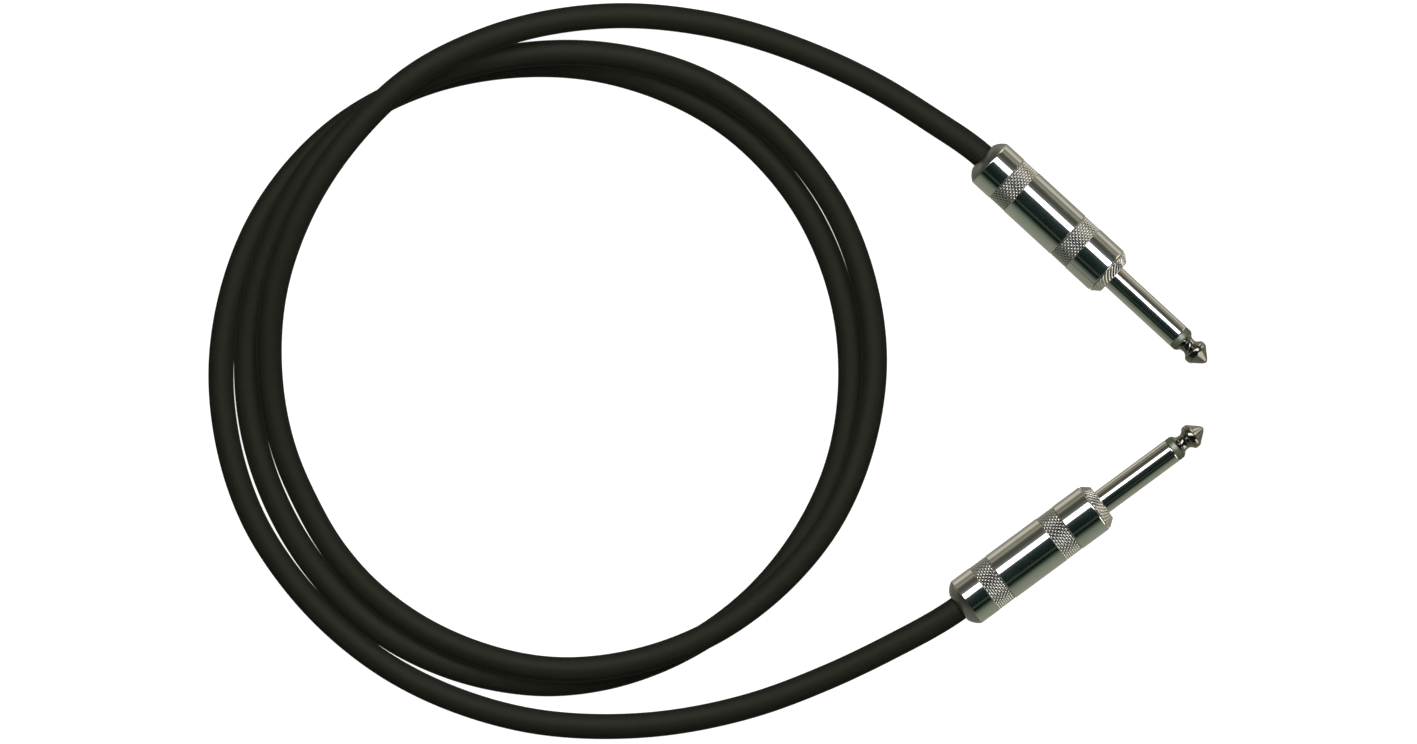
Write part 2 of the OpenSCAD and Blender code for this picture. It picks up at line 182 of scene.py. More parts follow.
# guide points round COIL_AT: degrees from +X towards +Y, radius, height
LAY = [
    (32, 114.4, 6.8), (40, 108.0, 7.4), (50, 101.35, 8.5),
    (65, 93.95, 10.6), (80, 88.4, 13.2), (100, 82.7, 15.9),
    (115, 79.4, 16.6), (130, 75.6, 16.4), (150, 72.35, 14.6),
    (165, 71.0, 12.2), (180, 70.1, 9.8), (200, 70.1, 7.6),
    (210, 70.45, 7.0), (220, 71.6, 6.9), (230, 72.8, 7.0), (240, 73.8, 7.2),
    (255, 75.4, 8.2), (270, 77.25, 9.3), (300, 79.6, 9.9),
    (330, 81.55, 9.3), (360, 82.2, 8.0), (390, 82.0, 7.6), (420, 80.8, 8.4),
    (440, 78.65, 9.5), (455, 77.5, 10.0), (470, 77.4, 10.2),
    (485, 77.6, 10.1), (500, 77.1, 9.3), (520, 75.75, 6.9),
    (540, 75.9, 4.9), (555, 76.4, 4.6), (570, 77.2, 4.7), (580, 78.05, 4.8),
    (590, 79.05, 4.9), (600, 79.95, 4.9), (612, 80.5, 4.2),
    (621, 80.8, 3.7), (630, 81.05, 3.42), (640, 80.75, 3.28),
    (650, 80.2, 3.22), (670, 79.0, 3.2), (700, 77.4, 3.2), (730, 75.9, 3.2),
    (750, 75.5, 3.2), (770, 75.2, 3.2), (800, 74.75, 3.2), (820, 75.4, 3.2),
    (835, 76.9, 3.2), (850, 78.75, 3.2), (870, 80.5, 3.2), (900, 82.3, 3.2),
    (930, 84.2, 3.2), (940, 84.6, 3.2), (950, 85.35, 3.2), (960, 86.4, 3.3),
    (985, 90.0, 3.8), (1005, 94.65, 4.7), (1020, 100.2, 5.5),
    (1031, 105.7, 6.1), (1040, 112.0, 6.5),
]
STUB_INSIDE, STUB_OUTSIDE = 8, -2       # guide points on a plug's axis, beside the reach itself
STUB_POINTS = 3                         # guide points on each plug's axis
LEAVE_A = STUB_POINTS + 3               # guide point where lead a meets the coil
LEAVE_B = STUB_POINTS + 56              # guide point where the coil meets lead b
LAST_GUIDE = len(LAY) + 2 * STUB_POINTS - 1
SECTIONS = {"coil": (LEAVE_A, LEAVE_B), "lead_a": (0, LEAVE_A), "lead_b": (LEAVE_B, LAST_GUIDE)}
JACKET_REACH = 16.0                     # how far the jacket runs into each plug


def guide_points(reach):
    """Guide points from reach inside plug a, round the coil, to reach inside plug b."""
    a, b = PLUG["a"], PLUG["b"]
    points = [a["rear"] + a["axis"] * s for s in (reach, STUB_INSIDE, STUB_OUTSIDE)]
    for degrees, radius, height in LAY:
        angle = math.radians(degrees)
        points.append(COIL_AT + np.array([radius * math.cos(angle), radius * math.sin(angle),
                                          height]))
    points += [b["rear"] + b["axis"] * s for s in (STUB_OUTSIDE, STUB_INSIDE, reach)]
    return np.array(points)


def centre_line(reach, first, last, step):
    """Cubic Hermite curve between guide points first and last, a station every step mm
    at most: positions and unit directions."""
    p = guide_points(reach)
    gap = step_lengths(p)
    slope = np.zeros_like(p)
    slope[0] = (p[1] - p[0]) / gap[0]
    slope[-1] = (p[-1] - p[-2]) / gap[-1]
    for i in range(1, len(p) - 1):
        before, after = gap[i - 1], gap[i]
        slope[i] = ((p[i] - p[i - 1]) * after / before
                    + (p[i + 1] - p[i]) * before / after) / (before + after)
    positions, directions = [], []
    for i in range(first, last):
        count = max(1, int(math.ceil(gap[i] / step)))
        start_slope, end_slope = slope[i] * gap[i], slope[i + 1] * gap[i]
        for k in range(count + (i == last - 1)):        # the last span keeps its end point
            t = k / count
            positions.append((2*t**3 - 3*t**2 + 1) * p[i] + (t**3 - 2*t**2 + t) * start_slope
                             + (3*t**2 - 2*t**3) * p[i + 1] + (t**3 - t**2) * end_slope)
            heading = ((6*t**2 - 6*t) * p[i] + (3*t**2 - 4*t + 1) * start_slope
                       + (6*t - 6*t**2) * p[i + 1] + (3*t**2 - 2*t) * end_slope)
            directions.append(heading / np.linalg.norm(heading))
    return np.array(positions), np.array(directions)


def section_offset(section, reach):
    """Cable length from plug a's jacket end to the section's start, so patterns run through."""
    if section == "lead_a":
        return -(reach - JACKET_REACH)
    positions, _ = centre_line(JACKET_REACH, 0, SECTIONS[section][0], 1.5)
    return step_lengths(positions).sum()


def cable_tube(name, section, reach, outer, inner, sides, step, ripple):
    """One layer of the cable along one section, closed; solid where inner is None."""
    positions, directions = centre_line(reach, *SECTIONS[section], step)
    side = np.cross([0, 0, 1], directions)
    side /= np.linalg.norm(side, axis=1)[:, None]
    up = np.cross(directions, side)
    along = travelled(positions) + section_offset(section, reach)
    phi = np.arange(sides) * TURN / sides
    rows = len(positions)

    def wall(radius):
        radius = np.broadcast_to(radius, (rows, sides))
        points = (positions[:, None, :] + (radius * np.cos(phi))[..., None] * side[:, None, :]
                  + (radius * np.sin(phi))[..., None] * up[:, None, :])
        return points.reshape(-1, 3)

    outer_wall = wall(outer + (ripple(along[:, None], phi[None, :]) if ripple else 0.0))
    faces = grid_faces(rows, sides)
    # "lay": mm along the cable, mm round it
    lay = np.stack(np.broadcast_arrays(along[:, None], phi[None, :] * outer, np.zeros((1, 1))),
                   -1).reshape(-1, 3)
    if inner is None:
        verts = np.r_[outer_wall, [positions[0], positions[-1]]]
        blocks = [faces, fan_caps(rows, sides)]
        lay = np.r_[lay, [[along[0], 0, 0], [along[-1], 0, 0]]]
    else:
        verts = np.r_[outer_wall, wall(inner)]
        inside = rows * sides                           # first vertex of the inner wall
        near = np.arange(sides)
        far = (near + 1) % sides
        end = (rows - 1) * sides
        first_face = np.stack([near, inside + near, inside + far, far], -1)
        last_face = np.stack([end + far, end + inside + far, end + inside + near, end + near], -1)
        blocks = [np.r_[faces, faces[:, ::-1] + inside, first_face, last_face]]
        lay = np.r_[lay, lay]
    return make_mesh(name, verts, blocks, 60, {"lay": lay})


# ---------------------------------------------------------------- node trees
class Nodes:
    """Builds a node tree by calls; an input takes a value or another node's socket."""

    def __init__(self, tree):
        self.tree = tree
        tree.nodes.clear()

    def add(self, kind, inputs=None, **properties):
        node = self.tree.nodes.new(kind)
        for key, value in properties.items():
            setattr(node, key, value)
        for key, value in (inputs or {}).items():
            socket = node.inputs[key]
            if isinstance(value, bpy.types.NodeSocket):
                self.tree.links.new(value, socket)
            else:
                socket.default_value = (*value, 1.0) if socket.type == "RGBA" else value
        return node

    def math(self, operation, *values, clamp=False):
        return self.add("ShaderNodeMath", dict(enumerate(values)), operation=operation,
                        use_clamp=clamp).outputs[0]

    def plus(self, a, b):
        return self.math("ADD", a, b)

    def times(self, a, b, clamp=False):
        return self.math("MULTIPLY", a, b, clamp=clamp)

    def ramp(self, factor, stops):
        """Colour ramp; stops are (position, (r, g, b))."""
        node = self.tree.nodes.new("ShaderNodeValToRGB")
        elements = node.color_ramp.elements
        while len(elements) > 1:
            elements.remove(elements[-1])
        elements[0].position = stops[0][0]
        elements[0].color = (*stops[0][1], 1.0)
        for position, colour in stops[1:]:
            elements.new(position).color = (*colour, 1.0)
        self.tree.links.new(factor, node.inputs[0])
        return node.outputs[0]

    def mask(self, factor, stops):
        """Grey ramp; stops are (position, level)."""
        return self.ramp(factor, [(position, (level,) * 3) for position, level in stops])

    def mix(self, factor, a, b):
        return self.add("ShaderNodeMix", {0: factor, 6: a, 7: b}, data_type="RGBA").outputs[2]

    def object_place(self):
        return self.add("ShaderNodeTexCoord").outputs["Object"]

    def attribute(self, name, output="Vector"):
        return self.add("ShaderNodeAttribute", attribute_name=name).outputs[output]

    def noise(self, vector, scale, detail, roughness=0.5):
        return self.add("ShaderNodeTexNoise", {"Vector": vector, "Scale": scale, "Detail": detail,
                                               "Roughness": roughness}).outputs[0]

    def stretched(self, vector, scale):
        return self.add("ShaderNodeMapping", {"Vector": vector, "Scale": scale}).outputs[0]

    def bump(self, height, strength, distance):
        return self.add("ShaderNodeBump", {"Height": height, "Strength": strength,
                                           "Distance": distance}).outputs[0]

    def principled(self, inputs):
        return self.add("ShaderNodeBsdfPrincipled", inputs).outputs[0]

    def background(self, colour, strength):
        return self.add("ShaderNodeBackground",
                        {"Color": colour, "Strength": strength}).outputs[0]

    def add_shaders(self, a, b):
        return self.add("ShaderNodeAddShader", {0: a, 1: b}).outputs[0]

    def output(self, kind, shader):
        self.add(kind, {"Surface": shader})


def new_material(name):
    material = bpy.data.materials.new(name)
    material.use_nodes = True
    return material, Nodes(material.node_tree)


# ---------------------------------------------------------------- materials
def jacket_pvc():
    """Near-black matt PVC with extrusion streaks along the cable and a little dust."""
    material, n = new_material("jacket_pvc")
    lay = n.attribute("lay")
    place = n.object_place()
    streak = n.noise(n.stretched(lay, scale=(0.035, 1.6, 1.0)),
                     scale=1.0, detail=5.0, roughness=0.55)
    mottle = n.noise(place, scale=420.0, detail=4.0, roughness=0.6)
    grain = n.noise(place, scale=5200.0, detail=3.0, roughness=0.6)
    dust = n.noise(place, scale=2600.0, detail=2.0, roughness=0.7)
    tone = n.ramp(n.plus(n.times(streak, 0.5), n.times(mottle, 0.5)),
                  [(0.30, (0.0036, 0.0042, 0.0022)), (0.72, (0.0058, 0.0064, 0.0036))])
    speck = n.mask(dust, [(0.70, 0), (0.80, 1)])
    base = n.mix(n.times(speck, 0.05), tone, (0.10, 0.095, 0.075))
    roughness = n.plus(0.66, n.times(mottle, 0.12))
    height = n.plus(n.times(grain, 0.6), n.times(streak, 0.5))
    normal = n.bump(height, strength=0.22, distance=0.00005)
    shader = n.principled({"Base Color": base, "Roughness": roughness, "Normal": normal,
                           "Specular IOR Level": 0.12, "IOR": 1.45,
                           "Specular Tint": (1.0, 1.0, 0.84)})
    n.output("ShaderNodeOutputMaterial", shader)
    return material


def nickel(name, tint, roughness, turning, groove=0.0):
    """Bright plate with faint clouding. turning is the height of the lathe rings; the last
    argument sets how far the per-vertex attribute darkens the plate: painted shade in the cuts,
    valleys and on the handle's nose."""
    material, n = new_material(name)
    place = n.object_place()
    cloud = n.noise(place, scale=260.0, detail=4.0, roughness=0.6)
    hairline = n.noise(place, scale=2700.0, detail=2.0, roughness=0.5)
    rings = n.noise(n.stretched(n.attribute("turn"), scale=(22.0, 0.15, 1.0)),
                    scale=1.0, detail=3.0, roughness=0.6)
    base = n.ramp(cloud, [(0.3, tuple(c * 0.93 for c in tint)),
                          (0.7, tuple(min(1.0, c * 1.03) for c in tint))])
    rough = n.plus(roughness, n.times(n.math("POWER", cloud, 2.0), 0.10))
    rough = n.plus(rough, n.times(rings, 0.03 if turning else 0.0))
    if groove:
        depth = n.attribute("groove", "Fac")
        cut = n.times(depth, 8.0, clamp=True)           # cut metal is brighter; painted shade darkens the floors of the cuts
        base = n.mix(n.times(cut, 0.8), base, (0.99, 0.965, 0.91))
        # painted shade: the plate goes dark where the attribute is high, in grooves, valleys and
        # on the handle's nose
        base = n.mix(n.times(depth, groove), base, (0.030, 0.026, 0.019))
        rough = n.plus(rough, n.times(depth, 0.16))
        rough = n.plus(rough, n.times(cut, 0.14))
    height = n.plus(n.times(hairline, 0.5), n.times(rings, turning))
    normal = n.bump(height, strength=0.10, distance=0.000004)
    shader = n.principled({"Base Color": base, "Metallic": 1.0, "Roughness": rough,
                           "Normal": normal})
    n.output("ShaderNodeOutputMaterial", shader)
    return material


def plastic(name, dark, light, roughness, scale, specular=0.4, subsurface=0.0):
    """Mottled plastic between two tones; scale sets the size of the mottling."""
    material, n = new_material(name)
    place = n.object_place()
    mottle = n.noise(place, scale=scale, detail=5.0, roughness=0.6)
    fine = n.noise(place, scale=scale * 9, detail=2.0, roughness=0.6)
    base = n.ramp(mottle, [(0.3, dark), (0.7, light)])
    rough = n.plus(roughness, n.times(fine, 0.12))
    normal = n.bump(fine, strength=0.15, distance=0.00002)
    shader = n.principled({"Base Color": base, "Roughness": rough, "Normal": normal,
                           "Specular IOR Level": specular, "Subsurface Weight": subsurface,
                           "Subsurface Scale": 0.001})
    n.output("ShaderNodeOutputMaterial", shader)
    return material


def copper_strands():
    """Copper with two crossing families of fine slanting lines along the cable."""
    pitch = 0.35                                        # mm between lines, round the cable
    lean = 0.8                                          # mm round per mm along
    material, n = new_material("copper_strands")
    along, around, _ = n.add("ShaderNodeSeparateXYZ", {"Vector": n.attribute("lay")}).outputs
    waves = []
    for operation in ("ADD", "SUBTRACT"):
        phase = n.math(operation, n.times(along, lean), around)
        waves.append(n.math("SINE", n.times(phase, TURN / pitch)))
    mottle = n.noise(n.object_place(), scale=700.0, detail=4.0)
    lines = n.math("MAXIMUM", *waves)
    factor = n.plus(n.times(mottle, 0.6), n.times(lines, 0.25))
    base = n.ramp(factor, [(0.15, (0.42, 0.17, 0.08)), (0.65, (0.83, 0.45, 0.28))])
    normal = n.bump(lines, strength=0.5, distance=0.00003)
    shader = n.principled({"Base Color": base, "Metallic": 1.0, "Roughness": 0.32,
                           "Normal": normal})
    n.output("ShaderNodeOutputMaterial", shader)
    return material


MATERIALS = {
    "jacket": jacket_pvc(),
    "copper": copper_strands(),
    "conductive_pvc": plastic(
        "conductive_pvc_black", dark=(0.012, 0.012, 0.013), light=(0.03, 0.03, 0.032),
        roughness=0.6, scale=900.0),
    "core_insulation": plastic(
        "core_insulation_milky", dark=(0.70, 0.70, 0.66), light=(0.82, 0.82, 0.78),
        roughness=0.4, scale=500.0, subsurface=0.3),
    # the tip's plate is tinted far darker than the sleeve's: painted shade that dims its
    # reflections
    "tip_nickel": nickel(
        "tip_nickel_painted_shade", tint=(0.32, 0.30, 0.265), roughness=0.05, turning=0.35),
    # for the sleeve and handle the last argument sets how dark the painted shade in grooves,
    # valleys and the handle's nose goes
    "shaft_nickel": nickel(
        "shaft_nickel_plate", tint=(0.79, 0.765, 0.71), roughness=0.045, turning=0.6,
        groove=0.85),
    "handle_nickel": nickel(
        "handle_nickel_plate", tint=(0.79, 0.775, 0.735), roughness=0.035, turning=0.25,
        groove=0.82),
    "tip_insulator": plastic(
        "tip_insulator_grey_green", dark=(0.034, 0.047, 0.028), light=(0.054, 0.068, 0.041),
        roughness=0.34, scale=700.0, specular=0.5),
    "inner_plastic": plastic(
        "inner_plastic_natural", dark=(0.62, 0.60, 0.50), light=(0.76, 0.74, 0.64),
        roughness=0.42, scale=500.0, subsurface=0.2),
    "tinned_brass": nickel(
        "tinned_brass_strip", tint=(0.72, 0.69, 0.60), roughness=0.22, turning=0.1),
    "fibre": plastic(
        "phenolic_fibre_brown", dark=(0.20, 0.09, 0.045), light=(0.36, 0.19, 0.10),
        roughness=0.5, scale=1400.0),
    "solder": nickel(
        "solder_dull_silver", tint=(0.66, 0.67, 0.69), roughness=0.24, turning=0.0),
}
SLOT_OF = {subpart["node"]: subpart["material_slot"] for subpart in record["subparts"]}


def dress(ob, slot):
    ob.data.materials.clear()
    ob.data.materials.append(MATERIALS[slot])


# ---------------------------------------------------------------- cable layers
def jacket_ripple(along, phi):
    """The slight unevenness of an extruded jacket, never above the nominal radius by 0.01 mm."""
    return (0.012 * np.sin(along / 17.3 + 0.7) * np.cos(phi - along / 90.0)
            + 0.008 * np.sin(along / 5.1 + 2.0 * np.cos(phi)) - 0.012)


def strands(count, depth, lay_length):
    """Rounded strands, one turn every lay_length mm, with valleys depth deep between them."""
    def ripple(along, phi):
        return depth * (np.abs(np.cos((phi - TURN * along / lay_length) * count / 2)) - 1.0)
    return ripple


LAYERS = [
    # name, reach into the plug, outer radius, inner radius, sides, step along, surface
    ("jacket", JACKET_REACH, 3.2, 2.3, 48, 1.4, jacket_ripple),
    ("shield", 17.5, 2.25, 1.98, 40, 3.0, strands(count=20, depth=0.03, lay_length=18.0)),
    ("conductive_layer", 19.0, 1.93, 1.68, 24, 3.5, None),
    ("insulation", 22.0, 1.63, 0.58, 24, 3.5, None),
    ("conductor", 31.5, 0.53, None, 24, 1.2, strands(count=6, depth=0.11, lay_length=14.0)),
]

# points on each lead near the coil and just behind its plug, where a bend would start and end;
# nothing below uses them
BEND_FROM_COIL = 3.0
BEND_FROM_HANDLE = 9.0


def point_along(points, distance):
    """The point that many mm along the line, in metres."""
    reached = travelled(points)
    return np.array([np.interp(distance, reached, points[:, k]) for k in range(3)]) * MM


def bend_span(lead):
    """Start and end of the bend on a lead whose points run from the coil to the plug."""
    end = step_lengths(lead).sum() - JACKET_REACH - BEND_FROM_HANDLE
    return point_along(lead, BEND_FROM_COIL), point_along(lead, end)


BEND = {
    "a": bend_span(centre_line(JACKET_REACH, *SECTIONS["lead_a"], 1.0)[0][::-1]),
    "b": bend_span(centre_line(JACKET_REACH, *SECTIONS["lead_b"], 1.0)[0]),
}

for layer, *shape in LAYERS:
    for section in SECTIONS:
        node = "%s_%s" % (layer, section)
        ob = cable_tube("cable_" + node, section, *shape)
        dress(ob, SLOT_OF[node])
        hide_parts(node)
        if section == "coil":
            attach(ob, "coil")
        else:
            side = section[-1]
            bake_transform(ob)

# ---------------------------------------------------------------- diamond knurl
COLS = 288                              # columns round a revolved piece
PHI = np.arange(COLS) * TURN / COLS
HANDLE_R = 6.52
SHOULDER_R = HANDLE_R - 0.05            # bottom of the small chamfers beside each band

# two families of diagonal grooves on the grid's own diagonals, pillows between them
KNURL_AROUND = 36                       # diamonds round the handle
KNURL_CELL = COLS // KNURL_AROUND       # columns, and rows, to one diamond
KNURL_PITCH = 1.18                      # length of one diamond along the plug
KNURL_PERIODS = 4
KNURL_STEPS = KNURL_PERIODS * KNURL_CELL
KNURL_LENGTH = KNURL_PERIODS * KNURL_PITCH
KNURL_TOP = SHOULDER_R
KNURL_DEPTH = 0.21
KNURL_ROOT = KNURL_TOP - KNURL_DEPTH


def off_groove(x):
    """Distance from the nearest groove, in groove spacings."""
    return np.abs(x - np.round(x))


def knurl_band(start):
    """Rows of one knurled band, from its groove-deep lead-in to the full handle radius."""
    # the third entry of each row is painted shade: dark in the grooves and lead-ins, faint on the
    # pillows
    rows = [(start - 0.1, KNURL_ROOT, 0.7)]
    col = np.arange(COLS)
    for row in range(KNURL_STEPS + 1):
        across = 2 * off_groove((col + row) / KNURL_CELL)
        back = 2 * off_groove((col - row) / KNURL_CELL)
        pillow = (1 - (1 - across) ** 2.2) * (1 - (1 - back) ** 2.2)
        rows.append((start + row * KNURL_PITCH / KNURL_CELL,
                     KNURL_TOP - KNURL_DEPTH * (1 - pillow),
                     np.clip(1 - np.minimum(across, back) / 0.40, 0.13, 1)))
    end = start + KNURL_LENGTH
    return rows + [(end + 0.08, KNURL_ROOT, 0.7), (end + 0.13, SHOULDER_R), (end + 0.18, HANDLE_R)]


def knurl_flip(row, col):
    """Whether a quad is cut along its other diagonal, so that its edge follows the groove."""
    return off_groove((col + row + 1) / KNURL_CELL) < off_groove((col - row) / KNURL_CELL)


# ---------------------------------------------------------------- turned pieces
def revolve(name, side, rows, sharp, knurls=()):
    """A ring from a closed loop of rows (s, radius, painted shade = 0); radius and painted shade
    may vary round the piece, the third entry darkening the plate as painted shade. knurls are the
    first grid rows of the bands cut into triangles."""
    s = np.array([row[0] for row in rows], float)[:, None]
    radius = np.array([np.broadcast_to(row[1], (COLS,)) for row in rows], float)
    groove = np.array([np.broadcast_to(row[2] if len(row) > 2 else 0.0, (COLS,))
                       for row in rows], float).reshape(-1)
    verts = on_plug(side, s, radius, PHI[None, :]).reshape(-1, 3)
    quads = grid_faces(len(rows), COLS, closed_rows=True)
    row_of, col_of = quads[:, 0] // COLS, quads[:, 0] % COLS
    cut = np.zeros(len(quads), bool)
    flip = np.zeros(len(quads), bool)
    for first in knurls:
        band = (row_of >= first) & (row_of < first + KNURL_STEPS)
        cut |= band
        flip[band] = knurl_flip(row_of[band] - first, col_of[band])
    plain, flipped = quads[cut & ~flip], quads[cut & flip]
    triangles = np.concatenate([plain[:, [0, 1, 2]], plain[:, [0, 2, 3]],
                                flipped[:, [0, 1, 3]], flipped[:, [1, 2, 3]]])
    turn = np.stack(np.broadcast_arrays(s, PHI[None, :] * 6.0, np.zeros((1, 1))), -1)
    return make_mesh(name, verts, [quads[~cut], triangles], sharp,
                     {"groove": groove, "turn": turn.reshape(-1, 3)})


def lathe(name, side, profile, cols, sharp):
    """A solid from a profile of (s, radius) that starts and ends on the axis."""
    profile = np.array(profile, float)
    s, radius = profile[1:-1].T
    ends = profile[[0, -1], 0]
    phi = np.arange(cols) * TURN / cols
    wall = on_plug(side, s[:, None], radius[:, None], phi[None, :]).reshape(-1, 3)
    plug = PLUG[side]
    verts = np.r_[wall, [plug["rear"] + plug["axis"] * end for end in ends]]
    all_s = np.r_[np.repeat(s, cols), ends]
    turn = np.stack([all_s, np.r_[np.tile(phi * 3.0, len(s)), 0, 0], np.zeros(len(all_s))], -1)
    return make_mesh(name, verts, [grid_faces(len(s), cols), fan_caps(len(s), cols)], sharp,
                     {"turn": turn, "groove": np.zeros(len(all_s))})


def fit(ob, slot, replaced, carrier):
    """Dresses a plug piece, swaps it for its CAD piece and lets it move with its carrier."""
    dress(ob, slot)
    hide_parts(replaced)
    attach(ob, carrier)


# ---------------------------------------------------------------- handle
NOSE_LENGTH = 2.5                       # rounded rear end of the handle
NOSE_FLAT_R = 3.75                      # radius where its arc starts
NOSE_ARC_R = 5.0
KNURL_REAR, KNURL_FRONT = 8.28, 29.2    # starts of the two bands
PLAIN_END = 29.06                       # front end of the plain grip between them
RIM_S, RIM_R = 42.1, 0.3                # rounding of the handle's front rim
THREAD_PITCH = 0.8
THREAD_ROOT_R = 5.05
THREAD_HEIGHT = 0.40
THREAD_CLEARANCE = 0.06
SOCKET_R = THREAD_ROOT_R + THREAD_HEIGHT + THREAD_CLEARANCE
HANDLE_BORE_R = 5.3


def nose_points(count):
    """Shallow arc from the flat ring at the rear to a crisp edge on the handle's side."""
    rise = HANDLE_R - NOSE_FLAT_R
    chord = math.hypot(rise, NOSE_LENGTH)
    back = math.sqrt(NOSE_ARC_R ** 2 - chord ** 2 / 4)
    centre_r = (HANDLE_R + NOSE_FLAT_R) / 2 - NOSE_LENGTH * back / chord
    centre_s = NOSE_LENGTH / 2 + rise * back / chord
    start = math.atan2(-centre_s, NOSE_FLAT_R - centre_r)
    end = math.atan2(NOSE_LENGTH - centre_s, HANDLE_R - centre_r)
    return [(centre_s + NOSE_ARC_R * math.sin(angle), centre_r + NOSE_ARC_R * math.cos(angle))
            for angle in np.linspace(start, end, count)]


def handle(side):
    rows = [(0.45, 3.5), (0.10, 3.58), (0.0, 3.66)]
    # painted shade: the third entry darkens the rounded nose all round, standing in for the dark
    # reflection it shows
    rows += [(s, radius, 0.8) for s, radius in nose_points(18)[:-1]]
    rows += [(2.46, HANDLE_R - 0.03, 0.4)]
    rows += [(s, HANDLE_R) for s in (2.56, 2.66, 2.76, 4.0, 6.0, 8.06)]
    rows += [(8.11, SHOULDER_R)]
    knurls = [len(rows) + 1]                            # past the band's lead-in row
    rows += knurl_band(KNURL_REAR)
    plain_start = KNURL_REAR + KNURL_LENGTH
    rows += [(s, HANDLE_R) for s in np.linspace(plain_start + 2, PLAIN_END - 2, 5)]
    rows += [(PLAIN_END - 0.05, HANDLE_R), (PLAIN_END, SHOULDER_R)]
    knurls.append(len(rows) + 1)
    rows += knurl_band(KNURL_FRONT)
    rows += [(s, HANDLE_R) for s in (36.0, 39.0, 41.7, 41.95)]
    rows += [(42.04, HANDLE_R - 0.006)]
    rows += [(RIM_S + RIM_R * math.sin(angle), HANDLE_R - 0.32 + RIM_R * math.cos(angle))
             for angle in np.radians(np.linspace(0, 90, 7)[1:])]
    rows += [(42.4, 5.75), (42.25, 5.56)]
    # plain socket round the sleeve's thread, then the bore back to the rear
    rows += [(s, SOCKET_R) for s in np.arange(42.1, 37.3, -0.1)]
    rows += [(37.2, 5.5), (37.2, HANDLE_BORE_R), (20.0, HANDLE_BORE_R), (2.6, HANDLE_BORE_R),
             (2.5, 5.2), (2.5, 3.6), (2.4, 3.5)]
    ob = revolve("handle_%s_shell" % side, side, rows, 26.0, knurls)
    fit(ob, "handle_nickel", "plug_%s_handle" % side, "handle_%s" % side)


# ---------------------------------------------------------------- sleeve body
SHAFT_R = 3.175
SLEEVE_BORE_R = 2.0
SLEEVE_FRONT = 66.8
FLUTES = 32
FLUTE_TWIST = 2.2                       # flute widths each flute slants over the collar
FLUTE_DEPTH = 0.40
FLUTES_START, FLUTES_END = 42.56, 44.70
COLLAR_R, COLLAR_SMALL_R = 6.3, 4.80    # radii at the ends of the collar's cone
CONE_START, CONE_END = 42.85, 44.75


def thread_rows():
    """Male thread, right hand, fading out at both ends."""
    rows = []
    for s in np.arange(37.85, 42.0, 0.1):
        phase = s / THREAD_PITCH - PHI / TURN
        triangle = np.abs(phase - np.round(phase)) * 2  # 0 in the groove, 1 on the crest
        fade = min(1.0, (s - 37.7) / 0.5, (42.1 - s) / 0.4)
        crest = np.clip((triangle - 0.12) / 0.72, 0, 1)
        # the third entry is painted shade in the thread's roots
        rows.append((s, THREAD_ROOT_R + (THREAD_HEIGHT * crest) * fade, (1 - crest) * 0.5))
    return rows


def collar_rows():
    """Rope-like flutes slanting round the collar's cone: rounded strands, sharp valleys."""
    rows = []
    for s in np.linspace(FLUTES_START, FLUTES_END, 33):
        t = (s - FLUTES_START) / (FLUTES_END - FLUTES_START)
        cone = COLLAR_R
        if s >= CONE_START:
            cone -= (s - CONE_START) / (CONE_END - CONE_START) * (COLLAR_R - COLLAR_SMALL_R)
        fade = min(1.0, t / 0.10, (1 - t) / 0.08)
        x = FLUTES * PHI / TURN + FLUTE_TWIST * t
        wave = np.sin(math.pi * (x - np.floor(x))) ** 0.8
        # the third entry is painted shade, darkest in the valleys between the flutes
        rows.append((s, cone + 0.02 - FLUTE_DEPTH * fade * (1 - wave),
                     0.13 + 0.87 * (1 - wave) ** 1.3 * fade))
    return rows


def sleeve_body(side):
    rows = [(37.6, 2.06), (37.6, 4.9), (37.72, THREAD_ROOT_R)]
    rows += thread_rows()
    rows += [(42.12, 5.12), (42.35, 5.12), (42.46, 5.2), (42.46, 6.12), (42.50, 6.22)]
    rows += collar_rows()
    rows += [(44.75, 4.62), (44.75, 4.4), (44.75, 3.6), (44.76, 3.30), (44.85, SHAFT_R)]
    rows += [(s, SHAFT_R) for s in np.linspace(46.5, 65.5, 9)]
    rows += [(66.4, SHAFT_R), (66.56, SHAFT_R), (66.62, 3.173), (66.76, 3.13),
             (SLEEVE_FRONT, 3.03), (SLEEVE_FRONT, 2.1)]
    rows += [(s, SLEEVE_BORE_R) for s in (66.7, 52.0, 37.7)]
    ob = revolve("plug_%s_sleeve_body_turned" % side, side, rows, 26.0)
    fit(ob, "shaft_nickel", "plug_%s_sleeve_body" % side, "plug_%s" % side)


# ---------------------------------------------------------------- tip and its ring
TIP_BASE = 68.6                         # rear face of the tip's head, front of the ring
ROD_R = 1.15                            # rod from the head back through the sleeve
# the rod's rear end, with a rounded button: s, radius
ROD_END = [(34.9, 0.0), (34.9, 1.6), (34.98, 1.82), (35.2, 1.9), (35.38, 1.86), (35.4, 1.78)]
# the head in front of TIP_BASE: s from there, radius
TIP_NECK = [
    (0.10, 2.96), (0.4, 2.63), (0.65, 2.33), (0.9, 2.13), (1.25, 2.03), (1.6, 1.985),
    (1.9, 1.98), (2.2, 2.05), (2.5, 2.22), (2.8, 2.48), (3.1, 2.83), (3.35, 3.05),
    (3.65, 3.16), (4.0, 3.175), (4.35, 3.165), (4.8, 3.08), (5.2, 2.80),
]
TIP_NOSE = [
    (5.2, 2.80), (5.6, 2.41), (6.2, 1.90), (6.8, 1.40), (7.2, 1.05), (7.5, 0.74),
    (7.72, 0.44), (7.86, 0.20), (7.89, 0.02),
]
